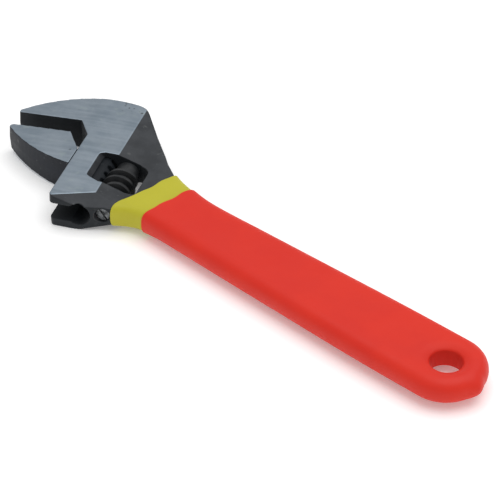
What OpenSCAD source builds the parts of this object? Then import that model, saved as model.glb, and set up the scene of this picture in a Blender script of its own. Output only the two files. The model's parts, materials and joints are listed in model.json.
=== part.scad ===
// Adjustable wrench, 200 mm class, with a twice-dipped vinyl grip.
// Frame of the part: origin at the centre of the hang hole, on the middle plane,
// +X along the handle towards the jaws, +Z square to the flat of the wrench.
// The head has its own plan axes: x runs out along the jaws, y runs down the slide
// from the gripping face of the fixed jaw, so every head dimension is read in that frame.

/* [Head] */
// Distance along the handle from the hang hole to the head's corner point
head_x = 166.1; // [150:0.1:180]
// Sideways distance from the handle's middle line to the head's corner point
head_y = -14.4; // [-17:0.1:-12]
// Angle of the jaws to the handle
head_angle = 25; // [20:0.5:28]
// Thickness of the head between its two ground faces
head_t = 12.5; // [12.3:0.1:14]
// Length of the slide from the fixed jaw to the open end
slide_len = 44.8; // [44:0.1:46]
// Radius of the back of the fixed jaw
back_r = 44.6; // [42:0.1:48]

/* [Jaws] */
// Reach of the jaws from the slide to their tips
jaw_reach = 28.6; // [24:0.1:30]
// Width of the land at each jaw tip
tip_land = 1.6; // [1:0.1:2]
// Loss of half thickness per millimetre of reach towards the tips
jaw_taper = 0.055; // [0:0.005:0.08]
// Opening between the jaws as drawn
gap = 7.4; // [6:0.1:9]
// Width of the throat corner cut beside each gripping face
throat_w = 5; // [4:0.1:6]
// Length of the throat corner cut along the slide
throat_l = 7.7; // [6:0.1:9]
// Length of the moving jaw's bearing on the slide
bearing_len = 8.8; // [6:0.1:9]
// Radius of the back of the moving jaw
jaw_back_r = 57; // [50:1:70]

/* [Rack and slot] */
// Distance from the slide face to the middle of the rack bore
rack_u = 10.2; // [9.9:0.1:10.4]
// Radius of the rack bore
rack_bore_r = 4.05; // [3.95:0.01:4.1]
// Radial clearance of the rack bar in its bore
rack_fit = 0.08; // [0.04:0.01:0.1]
// Height of the slot that the jaw's neck runs in
slot_h = 6.2; // [5.8:0.1:6.4]
// Clearance between the neck and each side of the slot
slot_fit = 0.15; // [0.1:0.01:0.2]
// Clearance between the jaw and the slide face
slide_fit = 0.15; // [0.1:0.01:0.25]

/* [Worm] */
// Distance from the slide face to the worm's axis
worm_u = 18.05; // [18:0.05:18.1]
// Outer radius of the worm
worm_r = 5.7; // [5.65:0.05:5.75]
// Pitch of the worm thread and the rack
pitch = 3.75; // [3.7:0.05:3.8]
// Depth of the thread
thread_depth = 1.7; // [1.6:0.05:1.75]
// Width of the thread at its crest
crest_w = 1; // [0.8:0.05:1.1]
// Width of the thread at its root
root_w = 2.2; // [2:0.05:2.3]
// Radius of the worm pin
pin_r = 1.75; // [1.7:0.01:1.8]
// Radial clearance of the worm on its pin
pin_fit = 0.06; // [0.04:0.01:0.1]
// Wire radius of the worm spring
wire_r = 0.22; // [0.18:0.01:0.24]

/* [Handle] */
// Half thickness of the steel shank
shank_h = 2.9; // [2.6:0.1:3.1]
// Thickness of the inner vinyl layer
inner_skin = 1; // [0.8:0.05:1.1]
// Thickness of the outer vinyl layer
outer_skin = 0.5; // [0.4:0.05:0.6]
// Radius of the handle's round end, over the grip
end_r = 13.5; // [13:0.1:14.5]
// Distance from the hang hole to the middle of the handle's round end
end_x = 0.6; // [0:0.1:2]
// Half width of the grip at its narrowest, near the head
waist_w = 11.4; // [11:0.05:12]
// Radius of the finished hang hole
hole_r = 5.2; // [5:0.05:5.4]
// Distance from the hang hole to the edge of the inner layer
inner_edge = 127.4; // [126.5:0.1:128]
// Distance from the hang hole to the edge of the outer layer
outer_edge = 117.2; // [116:0.1:118]
// Slant of the two dip lines
dip_slant = 6; // [0:0.5:8]

/* [Hidden] */
eps = 0.01;
over = 60;
half_t = head_t / 2;

// Plan of the head
face_edge = 14.6;
neck_u = 23;
neck_h = 3.6;
corner_r = 8;
corner_c = [-9.7, -6.6];
neck_back = [[-36.5, 20.1], [-33.3, 15.7], [-31.4, 13.1], [-29, 8.8]];
neck_root = [-38, 33];
low_end = [[-28, 40], [-25, 41.1], [-21.5, 41.7], [-18.5, 42.2], [-15.4, 43.3], [-12, 44.4],
           [-8, slide_len]];
end_corner_r = 1.6;
tip_chamfer = 0.4;
jaw_tip_chamfer = [1, 0.8];
jaw_throat = [throat_w + 1.3, throat_l + 1.6];

// Reliefs of the open end, on the upper and the lower face: [point on the edge line, slant, slope]
relief_upper = [[-2.7, 43.6], 22, 33];
relief_lower = [[-10.5, 44.4], 35, 36];

// Window for the worm
window = [[-9.4, 17.2], [-10.2, 16.2], [-22.3, 16.2], [-25, 17.6], [-26.2, 19], [-26.5, 20.2],
          [-26.1, 32], [-25.5, 32.6], [-13.3, 32.6], [-9.6, 30.8], [-9.4, 30.7]];
window_lean = [[-8.1, 18.1], [-8.5, 16.9], [-9.9, 16.2], [-14, 16.2], [-14, 32.3], [-9.6, 30.8],
               [-8.4, 30], [-8.1, 29]];
lean_z = 4;
window_low = 16.2;
window_high = 32.6;

// Slot, bore and worm seats along the slide
slot_start = 3.4;
bore_start = -1.6;
rack_start = 6.8;
rack_len = 26.7;
rack_r = rack_bore_r - rack_fit;
tooth_flat = 0.3;
tooth_tip_u = rack_u + rack_r - tooth_flat;
mesh_gap = 0.25;
first_groove = -3;
last_groove = 5;
neck_start = 14;
neck_len = 15.5;
pin_start = 8;
pin_play = 0.3;
pin_seat = 38.4;
pin_head_r = 2.35;
pin_head_t = 2.9;
seat_r = 2.6;
slot_w = 0.7;
slot_d = 0.8;
slot_turn = 35;

// Worm
worm_gap = 0.15;
worm_start = window_low + worm_gap;
worm_len = window_high - window_low - 2 * worm_gap;
core_r = worm_r - thread_depth;
spring_pocket = 5;
turn_steps = 48;
thread_seat = 0.3;
thread_lift = 0.05;
thread_turns = 2.7;
thread_start = 21.3;
mesh_phase = 16.44;
lead_angle = atan(pitch / (2 * PI * (worm_r - thread_depth / 2)));
run_out = 0.3;

// Spring
coil_r = 2.18;
coil_turns = 5;
coil_steps = 20;
spring_play = 0.1;
wire_sides = 8;

// Grip stations, over the finished grip
grip_h = shank_h + inner_skin + outer_skin;
edge_steps = 6;
waist_x = 106;
flare_x = 120;
front_x = 131;
low_side = [[waist_x, -waist_w], [flare_x, -12.3], [front_x, -16.6]];
high_side = [[waist_x, waist_w], [flare_x, 11], [front_x, 17.3]];
swell = [[waist_x, 0], [flare_x, 0.55], [front_x, 0.65]];
shank_end = 125;
hole_skin = 0.9;
liner_lap = 0.2;
inner_hole_r = hole_r + hole_skin;
steel_hole_r = inner_hole_r + inner_skin - liner_lap;
rim_h = 3.15;
rim_flare = 0.9;
nib_turn = 5;
nib_base_r = 3;
nib_tip_r = 1;
nib_len = 2.6;
nib_root = 1.4;

// Points of an arc from angle a0 to angle a1
function arc(c, r, a0, a1, n) =
    [for (i = [0:n]) c + r * [cos(a0 + (a1 - a0) * i / n), sin(a0 + (a1 - a0) * i / n)]];

// Centre of the circle of radius r through p and q, on the left of the way from p to q
function circle_centre(p, q, r) =
    let (d = q - p, l = norm(d), h = sqrt(r * r - l * l / 4))
    (p + q) / 2 + h * [-d[1], d[0]] / l;

// Arc through p and q, turning anticlockwise
function arc_between(p, q, r, n) =
    let (c = circle_centre(p, q, r),
         a0 = atan2(p[1] - c[1], p[0] - c[0]),
         a1 = atan2(q[1] - c[1], q[0] - c[0]),
         turn = a1 < a0 ? a1 + 360 : a1)
    arc(c, r, a0, turn, n);

module at_head() {
    translate([head_x, head_y, 0]) rotate([0, 0, head_angle]) children();
}

// Round bar or bore along the slide, at depth u behind the slide face
module along_slide(u, start, len, r) {
    translate([-u, start, 0]) rotate([-90, 0, 0]) cylinder(h = len, r = r, $fn = 64);
}

// Side view of the head: full thickness at the slide, thinner at the tips and the neck
module side_profile() {
    tip_z = half_t - jaw_taper * (jaw_reach + 2);
    rotate([90, 0, 0]) linear_extrude(4 * over, center = true)
        polygon([[jaw_reach + 2, -tip_z], [jaw_reach + 2, tip_z], [0, half_t], [-face_edge, half_t],
                 [-neck_u, neck_h], [-over, neck_h], [-over, -neck_h], [-neck_u, -neck_h],
                 [-face_edge, -half_t], [0, -half_t]]);
}

module head_outline() {
    tip_back = [jaw_reach, -tip_land];
    back_end = corner_c + corner_r * [cos(-100), sin(-100)];
    polygon(concat(
        [[throat_w, 0], [0, throat_l]],
        arc([-end_corner_r, slide_len - end_corner_r], end_corner_r, 0, 90, 4),
        [for (i = [len(low_end) - 1:-1:0]) low_end[i]],
        [neck_root],
        neck_back,
        arc(corner_c, corner_r, -146, -100, 5),
        arc_between(back_end, tip_back, back_r, 16),
        [[jaw_reach, -tip_chamfer], [jaw_reach - tip_chamfer, 0]]));
}

// Slanted relief of the upper face's edge at the open end of the slide
module end_relief(relief) {
    translate([relief[0][0], relief[0][1], half_t]) rotate([0, 0, relief[1]]) rotate([-relief[2], 0, 0])
        translate([-over / 2, 0, 0]) cube([over, over / 2, over / 4]);
}

module head_plate() {
    difference() {
        intersection() {
            linear_extrude(head_t + 2, center = true) head_outline();
            side_profile();
        }
        end_relief(relief_upper);
        mirror([0, 0, 1]) end_relief(relief_lower);
    }
}

// Half section of a round-edged bar: its outer edge is at x = 0, and it reaches in to x = -depth
module edge_section(depth, h) {
    polygon(concat([[-depth, -h]], arc([-h, 0], h, -90, 90, edge_steps), [[-depth, h]]));
}

// Everything on the inner side of a rounded edge that runs in plan from p to q
module inside_edge(p, q, h) {
    run = q - p;
    translate([p[0], p[1], 0]) rotate([0, 0, atan2(run[1], run[0])]) translate([-over, 0, 0])
        rotate([90, 0, 90]) linear_extrude(norm(run) + 2 * over) edge_section(over, h);
}

// Round-edged bar between two stations, each [x, low edge, high edge, half thickness]
module bar(a, b, slant_a, slant_b) {
    thick = max(a[3], b[3]);
    intersection() {
        inside_edge([a[0], a[2]], [b[0], b[2]], thick);
        mirror([0, 1, 0]) inside_edge([a[0], -a[1]], [b[0], -b[1]], thick);
        linear_extrude(over, center = true)
            polygon([[a[0] + over * tan(slant_a), -over], [b[0] + over * tan(slant_b), -over],
                     [b[0] - over * tan(slant_b), over], [a[0] - over * tan(slant_a), over]]);
        rotate([90, 0, 0]) linear_extrude(2 * over, center = true)
            polygon([[a[0] - over, a[3]], [a[0], a[3]], [b[0], b[3]], [b[0] + over, b[3]],
                     [b[0] + over, -b[3]], [b[0], -b[3]], [a[0], -a[3]], [a[0] - over, -a[3]]]);
    }
}

// Station of the handle at x, inset all round by skin from the finished grip
function station(x, skin) =
    [x, lookup(x, low_side) + skin, lookup(x, high_side) - skin, grip_h - skin + lookup(x, swell)];

// The handle's body, inset all round by skin, from its round end up to front
module handle_body(skin, front) {
    r = end_r - skin;
    edge = r - eps;
    translate([end_x, 0, 0]) rotate_extrude($fn = 64) intersection() {
        translate([r, 0]) edge_section(r, grip_h - skin);
        translate([0, -over / 2]) square([over, over]);
    }
    bar([end_x, -edge, edge, grip_h - skin], station(waist_x, skin), 0, 0);
    if (front > flare_x) {
        bar(station(waist_x, skin), station(flare_x, skin), 0, 0);
        bar(station(flare_x, skin), station(front, skin), 0, -dip_slant);
    } else {
        bar(station(waist_x, skin), station(front, skin), 0, -dip_slant);
    }
}

// Window for the worm, through the head; its wall by the rack leans out towards each face
module worm_window() {
    linear_extrude(over, center = true) polygon(window);
    intersection() {
        linear_extrude(over, center = true) polygon(window_lean);
        for (side = [0, 1])
            mirror([0, 0, side]) rotate([-90, 0, 0]) linear_extrude(over)
                polygon([[window_lean[0][0], -half_t], [window[0][0], -lean_z], [-over, -lean_z],
                         [-over, -over], [window_lean[0][0], -over]]);
    }
}

module bare_steel() {
    at_head() head_plate();
    handle_body(inner_skin + outer_skin, shank_end);
}

module frame() {
    color("dimgray") difference() {
        bare_steel();
        through_hole(steel_hole_r);
        at_head() {
            along_slide(rack_u, bore_start, over, rack_bore_r);
            translate([-rack_u, slot_start, -slot_h / 2]) cube([over, over, slot_h]);
            worm_window();
            along_slide(worm_u, pin_start, over, pin_r + eps);
            along_slide(worm_u, pin_seat, over, seat_r);
        }
    }
}

module jaw_outline() {
    tip = [jaw_reach, gap + tip_land];
    heel = [slide_fit, gap + jaw_throat[1] + bearing_len];
    polygon(concat(
        [[jaw_throat[0], gap], [jaw_reach - jaw_tip_chamfer[0], gap]],
        [[jaw_reach, gap + jaw_tip_chamfer[1]]],
        arc_between(tip, heel, jaw_back_r, 14),
        [[slide_fit, gap + jaw_throat[1]]]));
}

// One groove of the rack: the worm's thread with clearance, turned to the worm's lead
module rack_groove(y) {
    root_u = worm_u - worm_r - mesh_gap;
    mouth_u = tooth_tip_u + 1;
    flank = (root_w - crest_w) / 2 / thread_depth;
    half_root = crest_w / 2 + mesh_gap;
    half_mouth = half_root + flank * (mouth_u - root_u);
    translate([0, y, 0]) rotate([lead_angle, 0, 0]) linear_extrude(over / 4, center = true)
        polygon([[-root_u, -half_root], [-root_u, half_root],
                 [-mouth_u, half_mouth], [-mouth_u, -half_mouth]]);
}

module movable_jaw() {
    color("slategray") at_head() {
        intersection() {
            linear_extrude(head_t + 2, center = true) jaw_outline();
            side_profile();
        }
        translate([-rack_u, neck_start, slot_fit - slot_h / 2])
            cube([rack_u + slide_fit + eps, neck_len, slot_h - 2 * slot_fit]);
        difference() {
            along_slide(rack_u, rack_start, rack_len, rack_r);
            translate([-tooth_tip_u - over, 0, -over / 2]) cube([over, over, over]);
            for (i = [first_groove:last_groove]) rack_groove(mesh_phase + i * pitch);
        }
    }
}

// Thread section at step i: four corners, running out at both ends
function thread_ring(i, n) =
    let (a = 360 * i / turn_steps,
         fade = min(1, i / (run_out * turn_steps), (n - i) / (run_out * turn_steps)),
         outer = core_r + thread_lift + (thread_depth - thread_lift) * fade,
         half_outer = crest_w / 2 + (root_w - crest_w) / 2 * (1 - fade),
         z = pitch * i / turn_steps)
    [for (p = [[core_r - thread_seat, -root_w / 2], [outer, -half_outer],
               [outer, half_outer], [core_r - thread_seat, root_w / 2]])
        [p[0] * cos(a), p[0] * sin(a), z + p[1]]];

// Closed tube through rings of equal point counts
module swept(rings) {
    n = len(rings);
    m = len(rings[0]);
    points = [for (ring = rings) each ring];
    sides = [for (i = [0:n - 2], j = [0:m - 1])
        let (k = (j + 1) % m)
        each [[i * m + j, i * m + k, (i + 1) * m + k], [i * m + j, (i + 1) * m + k, (i + 1) * m + j]]];
    first = [for (j = [m - 1:-1:0]) j];
    last = [for (j = [0:m - 1]) (n - 1) * m + j];
    polyhedron(points, concat(sides, [first, last]));
}

module worm() {
    steps = round(thread_turns * turn_steps);
    start_angle = 360 * (thread_start - mesh_phase) / pitch;
    color("darkslategray") at_head() difference() {
        union() {
            along_slide(worm_u, worm_start, worm_len, core_r);
            translate([-worm_u, thread_start, 0]) rotate([-90, 0, 0]) rotate([0, 0, start_angle])
                swept([for (i = [0:steps]) thread_ring(i, steps)]);
        }
        along_slide(worm_u, 0, over, pin_r + pin_fit);
        along_slide(worm_u, 0, worm_start + spring_pocket, seat_r);
    }
}

module worm_pin() {
    color("gray") at_head() difference() {
        union() {
            along_slide(worm_u, pin_start + pin_play, pin_seat - pin_start, pin_r);
            along_slide(worm_u, pin_seat, pin_head_t, pin_head_r);
        }
        translate([-worm_u, pin_seat + pin_head_t, 0]) rotate([0, slot_turn, 0])
            cube([slot_w, 2 * slot_d, over], center = true);
    }
}

// Ring of the spring wire at step i
function wire_ring(i, n, len) =
    let (a = 360 * i / coil_steps, z = wire_r + (len - 2 * wire_r) * i / n)
    [for (j = [0:wire_sides - 1])
        let (b = 360 * j / wire_sides, r = coil_r + wire_r * cos(b))
        [r * cos(a), r * sin(a), z + wire_r * sin(b)]];

module worm_spring() {
    steps = coil_turns * coil_steps;
    length = worm_gap + spring_pocket - spring_play;
    color("silver") at_head() translate([-worm_u, window_low, 0]) rotate([-90, 0, 0])
        swept([for (i = [0:steps]) wire_ring(i, steps, length)]);
}

module through_hole(r) {
    translate([0, 0, -over / 2]) cylinder(h = over, r = r, $fn = 64);
}

// Tube of vinyl that lines the hang hole
module hole_liner(half_len, outer, inner) {
    difference() {
        translate([0, 0, -half_len]) cylinder(h = 2 * half_len, r = outer, $fn = 64);
        through_hole(inner);
    }
}

// Flare of the hang hole at both faces
module hole_rims() {
    for (side = [0, 1])
        mirror([0, 0, side]) translate([0, 0, rim_h])
            cylinder(h = grip_h - rim_h + eps, r1 = hole_r, r2 = hole_r + rim_flare, $fn = 64);
}

// Set drop of vinyl at the end of the handle
module drip_nib() {
    translate([end_x, 0, 0]) rotate([0, 0, -nib_turn]) translate([nib_root - end_r, 0, 0])
        rotate([0, -90, 0]) cylinder(h = nib_len, r1 = nib_base_r, r2 = nib_tip_r, $fn = 32);
}

module grip_inner() {
    color("gold") {
        difference() {
            handle_body(outer_skin, inner_edge);
            bare_steel();
            through_hole(inner_hole_r);
            at_head() {
                linear_extrude(over, center = true) polygon(window);
                along_slide(worm_u, pin_seat, over, seat_r);
            }
        }
        hole_liner(shank_h, steel_hole_r, inner_hole_r);
    }
}

module grip_outer() {
    color("tomato") difference() {
        union() {
            difference() {
                union() {
                    handle_body(0, outer_edge);
                    drip_nib();
                }
                handle_body(outer_skin, inner_edge);
            }
            hole_liner(grip_h - outer_skin, inner_hole_r, hole_r);
        }
        hole_rims();
        through_hole(hole_r);
    }
}

frame();
movable_jaw();
worm();
worm_pin();
worm_spring();
grip_inner();
grip_outer();
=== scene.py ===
import json
import math

import bpy
import numpy as np
from mathutils import Matrix, Vector


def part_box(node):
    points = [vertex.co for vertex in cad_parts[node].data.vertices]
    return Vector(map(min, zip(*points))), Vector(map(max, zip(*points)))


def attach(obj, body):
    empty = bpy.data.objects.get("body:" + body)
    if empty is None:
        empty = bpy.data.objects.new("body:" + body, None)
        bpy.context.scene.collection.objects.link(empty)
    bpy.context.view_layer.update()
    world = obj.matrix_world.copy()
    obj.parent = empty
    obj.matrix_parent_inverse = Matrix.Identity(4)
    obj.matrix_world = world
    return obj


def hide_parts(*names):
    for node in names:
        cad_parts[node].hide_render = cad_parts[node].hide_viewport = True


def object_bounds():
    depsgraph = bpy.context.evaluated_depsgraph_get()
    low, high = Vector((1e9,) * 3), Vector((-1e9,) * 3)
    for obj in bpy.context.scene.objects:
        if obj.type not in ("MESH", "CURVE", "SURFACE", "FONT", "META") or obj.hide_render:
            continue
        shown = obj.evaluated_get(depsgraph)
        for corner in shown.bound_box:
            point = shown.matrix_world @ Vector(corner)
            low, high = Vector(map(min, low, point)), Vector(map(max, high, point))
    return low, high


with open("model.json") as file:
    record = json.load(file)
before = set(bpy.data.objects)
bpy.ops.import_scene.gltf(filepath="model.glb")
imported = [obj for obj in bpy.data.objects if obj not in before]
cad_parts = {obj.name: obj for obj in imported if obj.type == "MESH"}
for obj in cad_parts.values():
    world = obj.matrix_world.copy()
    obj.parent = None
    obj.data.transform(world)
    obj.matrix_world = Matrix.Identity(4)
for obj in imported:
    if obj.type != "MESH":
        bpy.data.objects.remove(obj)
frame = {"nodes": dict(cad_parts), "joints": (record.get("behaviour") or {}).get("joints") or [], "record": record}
cad_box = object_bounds()

MM = 0.001
record = frame["record"]
joints = {j["name"]: j for j in frame["joints"]}
mounts = {m["name"]: m for m in record["mounts"]}

# ---------------------------------------------------------------- places, in millimetres
grip_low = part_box("grip_outer")[0] / MM
steel_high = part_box("frame")[1] / MM
head_half = steel_high.z
hole_r = mounts["hang_hole"]["dims"]["r_mm"]

# The head's own plan axes: jaw_axis (u) runs out along the jaws, slide_axis (v) runs down the slide.
slide_axis = Vector(joints["jaw_slide"]["axis"])
jaw_axis = slide_axis.cross(Vector((0, 0, 1)))
JAW_FACE_U = 16            # u of the mounts on the gripping faces
JAW_TAPER = 0.055          # thickness lost per millimetre towards the jaw tips, on each side
PITTED_CORNER = (-10.5, -12.0)
# RACK_U and RACK_BORE_R place the painted shade inside the rack bore.
RACK_U = 10.2
RACK_BORE_R = 4.05
SLOT_REACH = 3.4           # half height up to which level walls belong to the slot and get painted shade
HEAD_BEHIND_TIP = (65, 55)   # where the head's draft fades in, measured back from the tip
head_corner = Vector(mounts["fixed_jaw_face"]["pos_m"]) / MM - JAW_FACE_U * jaw_axis
gap = (Vector(mounts["moving_jaw_face"]["pos_m"]) / MM - head_corner).dot(slide_axis)
pitted = head_corner + PITTED_CORNER[0] * jaw_axis + PITTED_CORNER[1] * slide_axis

# Handle: the grip's plan is a round end that runs into two gently curved edges, each given as
# knots of (x, half width).
GRIP_HALF = 4.4
END_X = 0.6
END_R = 13.5
NEAR_EDGE = ((END_X, 13.5), (20, 13.58), (58, 12.75), (84, 12.05), (106, 11.35), (114, 11.05),
             (119, 11.1), (122.5, 11.8), (125.5, 13.2), (128, 15.0), (131, 17.3))
FAR_EDGE = ((END_X, 13.5), (20, 13.4), (58, 12.57), (84, 11.92), (106, 11.48), (112, 11.7),
            (118, 12.4), (122, 13.2), (125.5, 14.35), (128, 15.45), (131, 16.7))
HALF_HEIGHT = ((END_X, GRIP_HALF), (106, GRIP_HALF), (119, 4.9), (131, 5.05))
INNER_SKIN = 1.0
OUTER_SKIN = 0.5
DISH = 0.22
RIM_W = 3.6
RIM_ROUND = 0.5
RIM_DROP = 1.3
NIB_TURN = 4
NIB_ROUND = 2
NIB_SPREAD = 14
LIP_LENGTH = 22
INNER_FRONT = 127.4
OUTER_FRONT = 117.2


def smooth_curve(knots, x):
    """Cubic curve through the knots, with the slope at each knot taken from its neighbours."""
    kx, ky = (np.array(k, float) for k in zip(*knots))
    slope = np.gradient(ky, kx)
    i = np.clip(np.searchsorted(kx, x) - 1, 0, len(kx) - 2)
    step = kx[i + 1] - kx[i]
    t = np.clip((x - kx[i]) / step, 0, 1)
    return ((2 * t**3 - 3 * t**2 + 1) * ky[i] + (t**3 - 2 * t**2 + t) * step * slope[i]
            + (3 * t**2 - 2 * t**3) * ky[i + 1] + (t**3 - t**2) * step * slope[i + 1])


def ramp(x, start, end):
    t = np.clip((x - start) / (end - start), 0, 1)
    return t * t * (3 - 2 * t)


# ---------------------------------------------------------------- mesh helpers
def new_object(name, mesh):
    obj = bpy.data.objects.new(name, mesh)
    bpy.context.scene.collection.objects.link(obj)
    return obj


def mesh_from(name, points, faces):
    mesh = bpy.data.meshes.new(name)
    mesh.from_pydata([tuple(p) for p in points], [], faces)
    mesh.validate()
    return mesh


def applied(obj):
    """Replaces obj's mesh with what its modifiers make of it."""
    evaluated = obj.evaluated_get(bpy.context.evaluated_depsgraph_get())
    mesh = bpy.data.meshes.new_from_object(evaluated)
    obj.modifiers.clear()
    obj.data = mesh
    return obj


def modify(obj, kind, **settings):
    modifier = obj.modifiers.new(kind.lower(), kind)
    for name, value in settings.items():
        setattr(modifier, name, value)
    return applied(obj)


def boolean(obj, tool, operation):
    modify(obj, "BOOLEAN", object=tool, operation=operation, solver="EXACT")
    bpy.data.objects.remove(tool)
    return obj


def coordinates(mesh):
    co = np.empty(len(mesh.vertices) * 3, np.float32)
    mesh.vertices.foreach_get("co", co)
    return co.reshape(-1, 3).astype(float)


def set_coordinates(mesh, co):
    mesh.vertices.foreach_set("co", co.astype(np.float32).ravel())
    mesh.update()


def finished(obj, name, body, node, material, sharp=35):
    """Scales a piece from millimetres to metres and puts it in place of a CAD node."""
    obj.name = name
    obj.data.name = name
    obj.data.transform(Matrix.Scale(MM, 4))
    obj.data.materials.clear()
    obj.data.materials.append(material)
    obj.data.shade_smooth()
    obj.data.set_sharp_from_angle(angle=math.radians(sharp))
    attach(obj, body)
    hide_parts(node)
    return obj


# ---------------------------------------------------------------- node materials
class Nodes:
    """Short way to write a node tree: each call adds a node and returns its output."""

    def __init__(self, name):
        self.material = bpy.data.materials.new(name)
        self.material.use_nodes = True
        self.tree = self.material.node_tree
        self.shader = self.tree.nodes["Principled BSDF"]
        self.position = self.tree.nodes.new("ShaderNodeTexCoord").outputs["Object"]

    def link(self, value, socket):
        if isinstance(value, bpy.types.NodeSocket):
            self.tree.links.new(value, socket)
        else:
            socket.default_value = value

    def noise(self, scale, detail=3.0, roughness=0.5, stretch=None):
        node = self.tree.nodes.new("ShaderNodeTexNoise")
        self.link(self.stretched(stretch), node.inputs["Vector"])
        node.inputs["Scale"].default_value = scale
        node.inputs["Detail"].default_value = detail
        node.inputs["Roughness"].default_value = roughness
        return node.outputs["Fac"]

    def cells(self, scale):
        node = self.tree.nodes.new("ShaderNodeTexVoronoi")
        self.link(self.position, node.inputs["Vector"])
        node.inputs["Scale"].default_value = scale
        return node.outputs["Distance"]

    def stretched(self, stretch):
        if stretch is None:
            return self.position
        node = self.tree.nodes.new("ShaderNodeMapping")
        node.vector_type = "TEXTURE"
        self.link(self.position, node.inputs["Vector"])
        angle, along = stretch
        node.inputs["Rotation"].default_value = (0, 0, angle)
        node.inputs["Scale"].default_value = (along, 1, 1)
        return node.outputs["Vector"]

    def math(self, operation, a, b=0.0, c=0.0):
        node = self.tree.nodes.new("ShaderNodeMath")
        node.operation = operation
        for value, socket in zip((a, b, c), node.inputs):
            self.link(value, socket)
        return node.outputs[0]

    def range(self, value, low, high, to_low=0.0, to_high=1.0):
        node = self.tree.nodes.new("ShaderNodeMapRange")
        node.interpolation_type = "SMOOTHSTEP"
        for v, name in ((value, "Value"), (low, "From Min"), (high, "From Max"),
                        (to_low, "To Min"), (to_high, "To Max")):
            self.link(v, node.inputs[name])
        return node.outputs[0]

    def mix(self, factor, a, b):
        node = self.tree.nodes.new("ShaderNodeMix")
        node.data_type = "RGBA"
        self.link(factor, node.inputs["Factor"])
        self.link(a, node.inputs[6])
        self.link(b, node.inputs[7])
        return node.outputs[2]

    def part(self, vector, axis):
        node = self.tree.nodes.new("ShaderNodeSeparateXYZ")
        self.link(vector, node.inputs[0])
        return node.outputs[axis]

    def along(self, axis, origin):
        """Distance from origin along axis."""
        node = self.tree.nodes.new("ShaderNodeVectorMath")
        node.operation = "DOT_PRODUCT"
        self.link(self.position, node.inputs[0])
        node.inputs[1].default_value = axis
        return self.math("SUBTRACT", node.outputs["Value"], origin.dot(axis))

    def facing(self, axis):
        """How squarely the surface faces axis."""
        node = self.tree.nodes.new("ShaderNodeVectorMath")
        node.operation = "DOT_PRODUCT"
        self.link(self.geometry("Normal"), node.inputs[0])
        node.inputs[1].default_value = axis
        return node.outputs["Value"]

    def geometry(self, output):
        return self.tree.nodes.new("ShaderNodeNewGeometry").outputs[output]

    def bump(self, height, strength, distance, normal=None):
        node = self.tree.nodes.new("ShaderNodeBump")
        node.inputs["Strength"].default_value = strength
        node.inputs["Distance"].default_value = distance
        self.link(height, node.inputs["Height"])
        if normal is not None:
            self.link(normal, node.inputs["Normal"])
        return node.outputs[0]

    def set(self, **values):
        for name, value in values.items():
            self.link(value, self.shader.inputs[name.replace("_", " ")])
        return self.material


def rgba(r, g, b):
    return (r, g, b, 1.0)


def vinyl(name, colour, shade, light):
    """Satin dipped vinyl: faint mottling, fine orange peel, and slow changes in its gloss."""
    n = Nodes(name)
    mottle = n.noise(70, detail=4)
    flow = n.noise(16, detail=2, stretch=(0, 3))
    base = n.mix(n.range(mottle, 0.35, 0.7), shade, colour)
    base = n.mix(n.range(flow, 0.45, 0.75, 0, 0.6), base, light)
    rough = n.math("ADD", n.range(n.noise(120, detail=3), 0.3, 0.7, 0.42, 0.54),
                   n.range(flow, 0.3, 0.7, -0.03, 0.05))
    peel = n.bump(n.noise(900, detail=2), 0.12, 0.0002)
    waves = n.bump(n.noise(45, detail=1, stretch=(0, 2)), 0.25, 0.0006, peel)
    return n.set(Base_Color=base, Roughness=rough, Normal=waves, Specular_IOR_Level=0.25)


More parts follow.
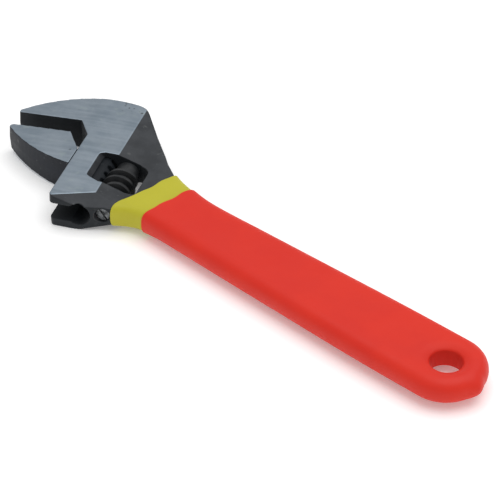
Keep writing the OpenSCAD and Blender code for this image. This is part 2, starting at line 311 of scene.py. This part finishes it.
def steel(name, gripping, skin, skin_light):
    """Forged steel with a dark skin, ground bright on its two flats, with painted shade near black on the gripping
    face, inside the rack bore and on the slot's level walls.
    """
    n = Nodes(name)
    grain = n.noise(1500, detail=4, roughness=0.6)
    blotch = n.noise(150, detail=4)
    dark = n.mix(n.range(blotch, 0.35, 0.65), skin, skin_light)
    specks = n.range(n.noise(520, detail=2), 0.68, 0.76, 0, 0.5)
    dark = n.mix(specks, dark, rgba(0.12, 0.13, 0.13))
    smudges = n.range(n.noise(250, detail=1), 0.69, 0.77, 0, 0.45)
    dark = n.mix(smudges, dark, rgba(0.13, 0.135, 0.135))
    # Painted shade: the gripping face goes near black, standing in for the shade the other jaw casts on it.
    painted_shade = n.range(n.facing(gripping), 0.8, 0.95, 0, 0.75)
    # Painted shade inside the rack bore, past the jaw: darkens the recess that light does not reach.
    depth = n.math("ADD", n.along(jaw_axis, head_corner * MM), RACK_U * MM)
    from_rack = n.math("SQRT", n.math("ADD", n.math("POWER", depth, 2.0),
                                      n.math("POWER", n.part(n.position, "Z"), 2.0)))
    bore_shade = n.range(from_rack, (RACK_BORE_R + 0.3) * MM, (RACK_BORE_R + 0.1) * MM, 0, 0.75)
    past_jaw = n.range(n.along(slide_axis, head_corner * MM), 0.0, 0.002)
    painted_shade = n.math("MAXIMUM", painted_shade, n.math("MULTIPLY", bore_shade, past_jaw))
    height = n.math("ABSOLUTE", n.part(n.position, "Z"))
    # Painted shade on the slot's level walls near the middle plane, where shade falls inside the slot.
    level_wall = n.range(n.math("ABSOLUTE", n.facing(Vector((0, 0, 1)))), 0.8, 0.95)
    slot_shade = n.range(height, SLOT_REACH * MM, (SLOT_REACH - 0.3) * MM, 0, 0.75)
    painted_shade = n.math("MAXIMUM", painted_shade, n.math("MULTIPLY", level_wall, slot_shade))
    # The painted shade pulls the skin towards near black.
    dark = n.mix(painted_shade, dark, rgba(0.008, 0.011, 0.014))
    dark_rough = n.range(blotch, 0.3, 0.7, 0.5, 0.62)
    reach = n.math("MAXIMUM", n.along(jaw_axis, head_corner * MM), 0.0)
    level = n.math("MULTIPLY_ADD", reach, -JAW_TAPER, head_half * MM)
    bright = n.range(n.math("SUBTRACT", level, height), 0.00013, 0.00005)
    strokes = n.noise(900, detail=3, stretch=(math.atan2(jaw_axis.y, jaw_axis.x), 22))
    cloud = n.noise(110, detail=5, roughness=0.62)
    patch = n.noise(260, detail=3)
    metal = n.mix(n.range(cloud, 0.3, 0.72), rgba(0.245, 0.30, 0.355), rgba(0.325, 0.38, 0.435))
    metal = n.mix(n.range(strokes, 0.35, 0.8, 0, 0.35), metal, rgba(0.4, 0.45, 0.5))
    metal = n.mix(n.range(patch, 0.6, 0.75, 0, 0.45), metal, rgba(0.37, 0.44, 0.45))
    near_corner = n.math("MULTIPLY", n.range(n.along(jaw_axis, pitted * MM), 0.006, 0.002),
                         n.range(n.along(slide_axis, pitted * MM), 0.004, 0.0015))
    scattered = n.range(n.noise(75), 0.66, 0.74, 0, 0.8)
    pits = n.math("MULTIPLY", n.range(n.cells(560), 0.34, 0.2), n.math("MAXIMUM", near_corner, scattered))
    metal = n.mix(pits, metal, rgba(0.09, 0.1, 0.11))
    colour = n.mix(bright, dark, metal)
    metal_rough = n.range(strokes, 0.25, 0.75, 0.36, 0.5)
    rough = n.math("MULTIPLY_ADD", bright, n.math("SUBTRACT", metal_rough, dark_rough), dark_rough)
    fine = n.math("MULTIPLY_ADD", bright, n.math("SUBTRACT", strokes, grain), grain)
    bump = n.bump(n.math("SUBTRACT", fine, n.math("MULTIPLY", pits, 2.0)), 0.2, 0.0001)
    metallic = n.range(bright, 0, 1, 0.3, 0.95)
    return n.set(Base_Color=colour, Roughness=rough, Metallic=metallic, Normal=bump,
                 Specular_IOR_Level=0.3)


def black_oxide(name, wear):
    """Black oxide that wears to grey on the edges."""
    n = Nodes(name)
    grain = n.noise(1100, detail=4)
    edge = n.range(n.geometry("Pointiness"), 0.52, 0.6, 0, wear)
    scuff = n.math("MULTIPLY", edge, n.range(n.noise(700, detail=3), 0.3, 0.6))
    colour = n.mix(n.range(n.noise(300), 0.3, 0.7), rgba(0.018, 0.02, 0.022), rgba(0.034, 0.035, 0.037))
    colour = n.mix(scuff, colour, rgba(0.2, 0.21, 0.22))
    rough = n.range(grain, 0.3, 0.7, 0.36, 0.5)
    return n.set(Base_Color=colour, Roughness=rough, Metallic=0.3, Specular_IOR_Level=0.3,
                 Normal=n.bump(grain, 0.15, 0.0001))


def spring_wire(name):
    """Bright drawn wire."""
    n = Nodes(name)
    tone = n.noise(900, detail=3)
    colour = n.mix(tone, rgba(0.28, 0.29, 0.31), rgba(0.5, 0.51, 0.53))
    return n.set(Base_Color=colour, Roughness=n.range(tone, 0.3, 0.7, 0.22, 0.36), Metallic=1.0)


# ---------------------------------------------------------------- steel pieces
VOXEL = 0.21
DRAFT = 0.0022             # part of its distance from the centre that a side leans in, per millimetre
FRAME_FACES = 190000
JAW_FACES = 120000


def forged_copy(node, face_limit, gripping_v):
    """Copy of a CAD node with softened edges, whose sides lean in above and below the parting line."""
    mesh = frame["nodes"][node].data.copy()
    mesh.transform(Matrix.Scale(1 / MM, 4))
    obj = new_object(node + "_forging", mesh)
    modify(obj, "REMESH", mode="VOXEL", voxel_size=VOXEL)
    modify(obj, "SMOOTH", factor=0.5, iterations=3)
    co = coordinates(obj.data)
    centre = head_corner + gripping_v * slide_axis
    on_head = ramp(co[:, 0], *(steel_high.x - back for back in HEAD_BEHIND_TIP))
    shrink = 1 - DRAFT * np.abs(co[:, 2]) * on_head
    for axis in (0, 1):
        co[:, axis] = centre[axis] + (co[:, axis] - centre[axis]) * shrink
    set_coordinates(obj.data, co)
    return modify(obj, "DECIMATE", ratio=min(1, face_limit / 2 / len(obj.data.polygons)))


# ---------------------------------------------------------------- the dipped grips
ARC_STEPS = 14
TOP_STEPS = 22
LIP_STEPS = 6


def half_section(width, half, dish, fullness):
    """Half section from the top middle over the rounded edge to the bottom middle: (reach, height)."""
    t = np.linspace(0, 1, TOP_STEPS + 1)[:-1]
    reach = (width - half) * t
    top = half - dish * (1 - t * t) ** 2
    a = np.linspace(math.pi / 2, -math.pi / 2, ARC_STEPS + 1)
    bulge = np.abs(np.cos(a)) ** (2 / fullness)
    rise = np.sign(np.sin(a)) * np.abs(np.sin(a)) ** (2 / fullness)
    reach = np.concatenate([reach, width - half + half * bulge, reach[::-1]])
    return reach, np.concatenate([top, half * rise, -top[::-1]])


def grip_rows(inset, front, wave):
    """Rows of points over the grip, from the near front round the end to the far front."""
    lip_back = front - LIP_LENGTH
    along = np.concatenate([np.linspace(front, lip_back, 45), np.linspace(lip_back - 1, 14, 50),
                            np.linspace(13.4, END_X, 24)])
    turns = np.linspace(90, 270, 73)[1:-1]
    rows = []
    for side, xs in ((1, along), (0, turns), (-1, along[::-1])):
        for value in xs:
            x = value if side else END_X
            knots = NEAR_EDGE if side > 0 else FAR_EDGE
            pull = float(ramp(x, lip_back, front))
            edge = smooth_curve(knots, x) if side else END_R
            width = float(smooth_curve(knots, x + pull * wave(edge * side))) if side else END_R
            half = float(np.interp(x, *zip(*HALF_HEIGHT))) - inset
            dish = DISH * float(ramp(x, 12, 30) * ramp(-x, -118, -95))
            fullness = 2.1 + 1.1 * float(ramp(x, 108, 124))
            reach, height = half_section(width - inset, half, dish, fullness)
            angle = math.radians(90 * side if side else value)
            px = x + reach * math.cos(angle)
            py = reach * math.sin(angle)
            px = px + pull * wave(py)
            from_hole = np.clip((np.hypot(px, py) - hole_r) / RIM_W, 0, 1)
            height = height - np.sign(height) * RIM_DROP * (1 - from_hole) ** 2
            rows.append(np.stack([px, py, height], 1))
    return rows


def dipped_skin(name, outside, thickness, front, wave):
    """Closed skin of vinyl, from the inset outside inwards by thickness, with a rolled front lip."""
    outer = grip_rows(outside, front, wave)
    inner = grip_rows(outside + thickness, front, wave)[::-1]

    def lip(a, b):
        rows = []
        for turn in np.linspace(0, math.pi, LIP_STEPS + 1)[1:-1]:
            row = a + (b - a) * (1 - math.cos(turn)) / 2
            row[:, 0] += thickness * 0.4 * math.sin(turn)
            rows.append(row)
        return rows

    rows = outer + lip(outer[-1], inner[0]) + inner + lip(inner[-1], outer[0])
    count, size = len(rows), len(rows[0])
    faces = []
    for i in range(count):
        this, following = i * size, (i + 1) % count * size
        faces += [(this + j, this + j + 1, following + j + 1, following + j) for j in range(size - 1)]
    obj = new_object(name, mesh_from(name, np.concatenate(rows), faces))
    modify(obj, "WELD", merge_threshold=0.002)
    return obj


def turned(name, profile, sides=96):
    """Closed solid turned about the Z axis from a profile of (radius, height) points."""
    points, faces = [], []
    angles = np.linspace(0, 2 * math.pi, sides + 1)[:-1]
    for r, z in profile:
        points += [(r * math.cos(a), r * math.sin(a), z) for a in angles]
    for i in range(len(profile) - 1):
        for j in range(sides):
            k = (j + 1) % sides
            faces.append((i * sides + j, i * sides + k, (i + 1) * sides + k, (i + 1) * sides + j))
    faces.append(tuple(range(sides))[::-1])
    faces.append(tuple((len(profile) - 1) * sides + j for j in range(sides)))
    return new_object(name, mesh_from(name, points, faces))


def bored(obj, wall, liner_half, bore, rim_z):
    """Lines the hang hole of a skin and opens it, with a small round at its corners at height rim_z."""
    boolean(obj, turned("liner", [(bore + wall, -liner_half), (bore + wall, liner_half)]), "UNION")
    upper = [(bore + RIM_ROUND * (1 - math.cos(t)), rim_z - RIM_ROUND * (1 - math.sin(t)))
             for t in np.linspace(0, math.radians(50), 6)]
    upper.append((bore + 1.2, rim_z + 1.4))
    profile = [(r, -z) for r, z in reversed(upper)] + upper
    return boolean(obj, turned("bore", profile), "DIFFERENCE")


def with_drip(obj):
    """Draws out the set drop of vinyl at the end of the grip."""
    co = coordinates(obj.data)
    angle = np.degrees(np.arctan2(co[:, 1], END_X - co[:, 0]))
    across = np.hypot(angle - NIB_TURN, NIB_ROUND) - NIB_ROUND
    from_end = np.hypot(co[:, 0] - END_X, co[:, 1])
    lift = np.clip(1 - across / NIB_SPREAD, 0, 1) * ramp(from_end, END_R - 6, END_R)
    lift = lift * np.exp(-((co[:, 2] / 3.4) ** 2))
    direction = np.stack([-np.cos(np.radians(angle)), np.sin(np.radians(angle))], 1)
    co[:, :2] += direction * lift[:, None] * (END_X - grip_low.x - END_R)
    set_coordinates(obj.data, co)
    return obj


def front_wave(slant, near_step):
    """How far the front edge of a dip runs ahead at each y."""
    def wave(y):
        return y * slant + near_step * (ramp(y, 2, 8) - 0.5) + 0.25 * np.sin(y * 0.7)
    return wave


# ---------------------------------------------------------------- build
frame_steel = steel("frame_steel", slide_axis, rgba(0.034, 0.037, 0.042), rgba(0.052, 0.056, 0.062))
body = forged_copy("frame", FRAME_FACES, 0)
finished(body, "steel_frame", "frame", "frame", frame_steel)
# The sliding jaw gets a darker copy of the frame's skin: painted shade for its sides, which stand in shade.
jaw_steel_painted_shade = steel("jaw_steel_painted_shade", -slide_axis, rgba(0.008, 0.01, 0.015), rgba(0.017, 0.02, 0.027))
jaw = forged_copy("movable_jaw", JAW_FACES, gap)
finished(jaw, "sliding_jaw", "movable_jaw", "movable_jaw", jaw_steel_painted_shade)

yellow = vinyl("yellow_vinyl", rgba(0.49, 0.46, 0.03), rgba(0.46, 0.43, 0.027), rgba(0.52, 0.49, 0.037))
red = vinyl("red_vinyl", rgba(0.705, 0.027, 0.012), rgba(0.67, 0.024, 0.012), rgba(0.74, 0.032, 0.015))
inner_grip = dipped_skin("inner", OUTER_SKIN, INNER_SKIN, INNER_FRONT, front_wave(0.09, 0.9))
bored(inner_grip, INNER_SKIN - 0.2, 2.4, hole_r + 0.9, 3.0)
finished(inner_grip, "inner_grip", "frame", "grip_inner", yellow)
outer_grip = dipped_skin("outer", 0, OUTER_SKIN, OUTER_FRONT, front_wave(0.11, 0.2))
with_drip(outer_grip)
bored(outer_grip, 0.85, GRIP_HALF - RIM_DROP - 0.2, hole_r, GRIP_HALF - RIM_DROP + 0.1)
finished(outer_grip, "outer_grip", "frame", "grip_outer", red)

for node, material in (("worm", black_oxide("worm_oxide", 0.55)),
                       ("worm_pin", black_oxide("worm_pin_oxide", 1.0)),
                       ("worm_spring", spring_wire("spring_wire"))):
    slots = frame["nodes"][node].data.materials
    slots.clear()
    slots.append(material)

# ---------------------------------------------------------------- stage
scene = bpy.context.scene
scene.view_settings.view_transform = "Standard"

floor_corners = [(-3, -3, 0), (3, -3, 0), (3, 3, 0), (-3, 3, 0)]
floor = new_object("floor", mesh_from("floor", floor_corners, [(0, 1, 2, 3)]))
floor.location.z = cad_box[0].z
paper = Nodes("paper")
paper_tone = paper.mix(paper.noise(3), rgba(0.95, 0.95, 0.95), rgba(0.96, 0.96, 0.96))
floor.data.materials.append(paper.set(Base_Color=paper_tone, Roughness=0.9, Emission_Color=rgba(1, 1, 1),
                                      Emission_Strength=0.17))

world = bpy.data.worlds.new("studio")
scene.world = world
world.use_nodes = True
background = world.node_tree.nodes["Background"]
background.inputs["Color"].default_value = rgba(1, 1, 1)
background.inputs["Strength"].default_value = 0.6


def area_light(name, place, size, power, target):
    light = bpy.data.lights.new(name, "AREA")
    light.shape = "DISK"
    light.size = size
    light.energy = power
    obj = new_object(name, light)
    obj.location = place
    obj.rotation_euler = (Vector(target) - Vector(place)).to_track_quat("-Z", "Y").to_euler()
    return obj


middle = (cad_box[0] + cad_box[1]) / 2
area_light("key", middle + Vector((-0.1, -0.15, 0.95)), 1.2, 6.0, middle)

view_direction = Vector((0.5320, -0.5822, -0.6150)).normalized()
camera_data = bpy.data.cameras.new("camera")
camera_data.lens = 154.9
camera_data.sensor_width = 36
camera_data.clip_start = 0.05
camera = new_object("camera", camera_data)
camera.location = (-0.2879, 0.4030, 0.4291)
camera.rotation_euler = view_direction.to_track_quat("-Z", "Y").to_euler()
scene.camera = camera
